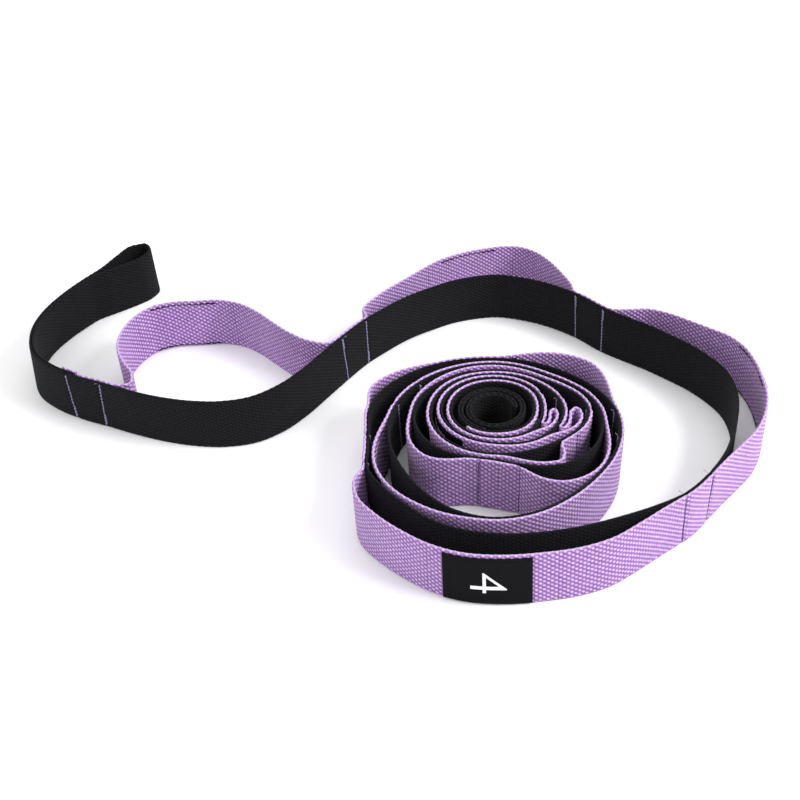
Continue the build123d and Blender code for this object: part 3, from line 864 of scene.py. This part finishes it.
# ---- labels --------------------------------------------------------------------------------------
NUMERAL_HEIGHT = 20.0
NUMERAL_WIDENING = 1.20
NUMERAL_THINNING = -0.013
NUMERAL_RAISE = 0.10
NUMERAL_SINK = 0.05
NUMERAL_EXTRUDE = 0.02
NUMERAL_MERGE = 1e-4
NUMERAL_DROP = 1.1
NUMERAL_SHIFT = -0.8
NUMERAL_CUTS = 1.5


def label(number, route, body):
    """A label on a loop's outer face, with its numeral turned on its side."""
    middle = label_middle(route, number)
    offset = LOOP_THICKNESS / 2 + LABEL_THICKNESS / 2 + LABEL_STAND_OFF
    low = LABEL_FOOT
    piece = band(f"label_{number}_tape", lambda d: route.beside(d, offset), middle - LABEL_LENGTH / 2,
                 middle + LABEL_LENGTH / 2, "label", 0, [LABEL_TAPE], (), low, low + LABEL_HEIGHT,
                 LABEL_FOLD)
    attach(piece, body)
    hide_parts(f"label_{number}")
    numeral(number, route, body)


def numeral(number, route, body):
    """A white numeral that lies on the label's curved face. Its top points back along the strap."""
    text = bpy.data.curves.new(f"numeral_{number}", "FONT")
    text.body = str(number)
    text.align_x = "CENTER"
    text.align_y = "CENTER"
    text.size = 1.0
    text.extrude = NUMERAL_EXTRUDE
    text.offset = NUMERAL_THINNING
    source = bpy.data.objects.new("numeral_source", text)
    bpy.context.scene.collection.objects.link(source)
    bpy.context.view_layer.update()
    evaluated = source.evaluated_get(bpy.context.evaluated_depsgraph_get())
    mesh = bpy.data.meshes.new_from_object(evaluated)
    bpy.data.objects.remove(source)
    flat = np.array([v.co for v in mesh.vertices], float)
    middle = (flat.max(0) + flat.min(0)) / 2
    scale = NUMERAL_HEIGHT / (flat[:, 1].max() - flat[:, 1].min())
    flat = (flat - middle) * [scale * NUMERAL_WIDENING, scale, 1.0]
    for vertex, place in zip(mesh.vertices, flat):
        vertex.co = place
    form = bmesh.new()
    form.from_mesh(mesh)
    bmesh.ops.remove_doubles(form, verts=form.verts, dist=NUMERAL_MERGE)
    for cut in np.arange(-NUMERAL_HEIGHT / 2 + NUMERAL_CUTS, NUMERAL_HEIGHT / 2, NUMERAL_CUTS):
        parts = list(form.verts) + list(form.edges) + list(form.faces)
        bmesh.ops.bisect_plane(form, geom=parts, plane_co=(0, cut, 0), plane_no=(0, 1, 0))
    bmesh.ops.triangulate(form, faces=form.faces)
    form.to_mesh(mesh)
    form.free()
    flat = np.array([v.co for v in mesh.vertices], float)
    distance = label_middle(route, number) + NUMERAL_SHIFT - flat[:, 1]
    height = LABEL_FOOT + LABEL_HEIGHT / 2 - NUMERAL_DROP - flat[:, 0]
    face = LOOP_THICKNESS / 2 + LABEL_THICKNESS + LABEL_STAND_OFF
    offset = face + np.where(flat[:, 2] > 0, NUMERAL_RAISE, -NUMERAL_SINK)
    placed = in_frame(route.beside(distance, offset), height)
    mesh.vertices.foreach_set("co", placed.astype(np.float32).ravel())
    mesh.materials.clear()
    mesh.materials.append(NUMERAL_WHITE)
    mesh.update()
    piece = bpy.data.objects.new(f"numeral_{number}", mesh)
    bpy.context.scene.collection.objects.link(piece)
    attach(piece, body)


# ---- webbing pieces ------------------------------------------------------------------------------
def base_line(distance):
    return BASE.beside(distance, 0.0)


def row_dip(distance, *rows):
    """How far the sewn rows draw the loop webbing in towards the base."""
    return LAYER_GAP * ROW_DRAW_SHARE * sum(np.exp(-((distance - row) / ROW_DRAW_REACH) ** 2)
                                            for row in rows)


def sewn_line(route, first, second):
    """A loop's line along its route, drawn in at its two sewn rows."""
    def line(distance):
        return route.beside(distance, -row_dip(distance, first, second))

    return line


def loop_on_base(distance):
    """The loop webbing's line where it lies sewn on the base, drawn in at each row."""
    distance = np.asarray(distance, float)
    offset = np.full(distance.shape, LAYER_OFFSET)
    for junction in range(1, LOOP_COUNT + 2):
        for row in (first_row(junction), second_row(junction)):
            offset -= row_dip(distance, row)
    past_return = first_row(1) + RETURN_END_PAST_ROW + 1.0
    over = np.clip((past_return + 5.0 - distance) / 5.0, 0, 1)
    offset += (TAIL_OFFSET - LAYER_OFFSET) * over * over * (3 - 2 * over) * (distance < second_row(1))
    return BASE.beside(distance, offset)


def middle_of(piece_line, distance):
    """A frame point half-way up a webbing, for a blend's start or end."""
    return tuple(in_frame(piece_line(np.array([distance])), np.array([WEBBING_WIDTH / 2]))[0])


def even(start, end, total=0):
    """The weave's count after a stretch."""
    return total + cell_steps(start, end)


def free_webbing():
    """The four free spans: base, junctions, and each loop's two runs and grip."""
    bodies = ["free_end", "span_1", "span_2", "span_3", "span_4", "coil"]
    cells = 0
    for junction in range(1, FREE_LOOPS + 2):
        start, end = first_row(junction), second_row(junction)
        body = (bodies[junction - 1], bodies[junction],
                middle_of(base_line, start), middle_of(base_line, end))
        rows = (start, end)
        piece = band(f"base_bend_{junction}", base_line, start, end, "base", cells, [BLACK], rows)
        declare(piece, body, [])
        piece = band(f"loop_bend_{junction}", loop_on_base, start, end, "loop", cells, [PURPLE],
                     rows)
        declare(piece, body, [])
        cells = even(start, end, cells)
        if junction > FREE_LOOPS:
            continue
        start, end = second_row(junction), first_row(junction + 1)
        rows = (start, end)
        piece = band(f"base_span_{junction}", base_line, start, end, "base", cells, [BLACK], rows)
        declare(piece, f"span_{junction}", [f"base_webbing_{junction}"])
        cells = free_loop_pieces(junction, cells)


def free_loop_pieces(number, cells):
    """A free loop: its two runs between the span and the grip, and the grip with its label and label
    thread.
    """
    route = free_loop(number)
    start = route.nearest(BASE.beside(second_row(number), LAYER_OFFSET))
    end = route.nearest(BASE.beside(first_row(number + 1), LAYER_OFFSET))
    grip_start = (route.length - GRIP_LENGTH) / 2
    grip_end = (route.length + GRIP_LENGTH) / 2
    line = sewn_line(route, start, end)
    span, grip = f"span_{number}", f"grip_{number}"
    nodes = [f"loop_webbing_{number}_{part}" for part in ("first_run", "grip", "second_run")]
    piece = band(f"loop_{number}_first_run", line, start, grip_start, "loop", cells, [PURPLE], (start,))
    declare(piece, (span, grip, middle_of(line, start), middle_of(line, grip_start)), nodes[:1])
    cells = even(start, grip_start, cells)
    piece = band(f"loop_{number}_grip", line, grip_start, grip_end, "loop", cells, [PURPLE])
    declare(piece, grip, nodes[1:2])
    cells = even(grip_start, grip_end, cells)
    piece = band(f"loop_{number}_second_run", line, grip_end, end, "loop", cells, [PURPLE], (end,))
    declare(piece, (span, grip, middle_of(line, end), middle_of(line, grip_end)), nodes[2:])
    label(number, route, grip)
    threads = Threads()
    label_stitches(threads, route, number)
    threads.piece(f"label_thread_{number}", grip, [f"label_stitching_{number}"],
                  "label_thread", [BLACK_THREAD])
    return even(grip_end, end, cells)


def rolled_webbing():
    """The coil: each loop's section of base and of loop webbing, its label and the labels' thread."""
    threads = Threads()
    cells = 0
    for number in range(FREE_LOOPS + 1, LOOP_COUNT + 1):
        start = second_row(number) if number == FREE_LOOPS + 1 else JUNCTIONS[number - 1]
        end = JUNCTIONS[number]
        rows = (second_row(number), first_row(number + 1))
        piece = band(f"base_coil_{number}", base_line, start, end, "base", cells, [BLACK], rows)
        declare(piece, "coil", [f"base_webbing_{number}"])
        route = rolled_loop(number)
        near = route.nearest(BASE.beside(rows[0], LAYER_OFFSET))
        far = route.nearest(BASE.beside(rows[1], LAYER_OFFSET))
        line = sewn_line(route, near, far)
        first = near if number == FREE_LOOPS + 1 else 0.0
        piece = band(f"loop_coil_{number}", line, first, route.length, "loop", cells, [PURPLE],
                     (near, far))
        declare(piece, "coil", [f"loop_webbing_{number}"])
        label(number, route, "coil")
        label_stitches(threads, route, number)
    threads.piece("label_thread_coil", "coil", ["label_stitching_coil"], "label_thread",
                  [BLACK_THREAD])


def end_loops():
    """The two folded-back ends of the base webbing, and the loop webbing's tail at the free one."""
    outer = along(BASE, 0.0, first_row(1))
    back = RETURN_TIP + along(BASE, RETURN_JOIN, first_row(1) + RETURN_END_PAST_ROW, LAYER_STEP,
                              RETURN_OFFSET)
    hairpin = Route(outer[::-1] + back[1:])
    piece = band("end_loop_free", hairpin.at, 0.0, hairpin.length, "base", 0, [BLACK], (0.0,))
    declare(piece, "free_end", ["end_loop_1"])
    row = first_row(1)
    piece = band("loop_tail", loop_on_base, row - TAIL_LENGTH, row, "loop", 0, [PURPLE], (row,))
    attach(piece, "free_end")
    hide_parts("loop_webbing_tail")
    outer = along(BASE, JUNCTIONS[-1], BASE.length, LOOP_STEP)
    return_start = second_row(LOOP_COUNT + 1) - RETURN_END_PAST_ROW
    back = along(BASE, return_start, BASE.length - CORE_FOLD_SPACE, LOOP_STEP, -RETURN_OFFSET)
    tip = [tuple(BASE.beside(BASE.length, -share * RETURN_OFFSET, CORE_FOLD_REACH))
           for share in (0.15, 0.85)]
    hairpin = Route(outer + tip + back[::-1], FINE_SAMPLE)
    piece = band("end_loop_rolled", hairpin.at, 0.0, hairpin.length, "base", 0, [BLACK])
    declare(piece, "coil", ["end_loop_2"])


# ---- camera, floor and light ---------------------------------------------------------------------
CAMERA_PLACE = (0.0677, -0.5866, 0.4696)
CAMERA_TILT = 52.2
CAMERA_SHIFT = -0.1125
FLOOR_REACH = 4.0
FLOOR_COLOUR = (0.86, 0.86, 0.87, 1)
FLOOR_ROUGHNESS = 0.7
WORLD_COLOUR = (1.0, 1.0, 1.0, 1)
WORLD_STRENGTH = 0.70
# Each light's name, place, aim, size and power, in metres and watts.
LIGHTS = [
    ("key", (1.5, -0.3, 1.2), (0.1, 0.0, 0.0), 0.9, 42.0),
    ("fill", (-0.8, -1.0, 1.1), (0.0, 0.0, 0.0), 1.2, 9.0),
    ("top", (0.0, 0.4, 1.6), (0.0, 0.0, 0.0), 1.4, 10.0),
]


def make_camera():
    data = bpy.data.cameras.new("camera")
    data.lens = 50.0
    data.sensor_width = 36.0
    data.shift_x = CAMERA_SHIFT
    camera = bpy.data.objects.new("camera", data)
    camera.location = CAMERA_PLACE
    camera.rotation_euler = (math.radians(CAMERA_TILT), 0.0, 0.0)
    bpy.context.scene.collection.objects.link(camera)
    bpy.context.scene.camera = camera


def make_floor():
    size = FLOOR_REACH
    corners = [(-size, -size, 0), (size, -size, 0), (size, size, 0), (-size, size, 0)]
    mesh = bpy.data.meshes.new("floor")
    mesh.from_pydata(corners, [], [(0, 1, 2, 3)])
    n = Nodes("floor_white")
    n.shader.inputs["Base Color"].default_value = FLOOR_COLOUR
    n.shader.inputs["Roughness"].default_value = FLOOR_ROUGHNESS
    mesh.materials.append(n.material)
    floor = bpy.data.objects.new("floor", mesh)
    bpy.context.scene.collection.objects.link(floor)


def area_light(name, place, aim, size, watts):
    data = bpy.data.lights.new(name, "AREA")
    data.shape = "SQUARE"
    data.size = size
    data.energy = watts
    light = bpy.data.objects.new(name, data)
    light.location = place
    direction = np.array(aim) - np.array(place)
    yaw = math.atan2(direction[0], -direction[1])
    pitch = math.atan2(math.hypot(direction[0], direction[1]), -direction[2])
    light.rotation_euler = (pitch, 0.0, yaw + math.pi)
    bpy.context.scene.collection.objects.link(light)


def make_light():
    world = bpy.data.worlds.new("studio")
    world.use_nodes = True
    background = world.node_tree.nodes["Background"]
    background.inputs["Color"].default_value = WORLD_COLOUR
    background.inputs["Strength"].default_value = WORLD_STRENGTH
    bpy.context.scene.world = world
    for light in LIGHTS:
        area_light(*light)
    bpy.context.scene.view_settings.view_transform = "Standard"


make_camera()
make_floor()
make_light()
free_webbing()
rolled_webbing()
end_loops()
cross_rows()
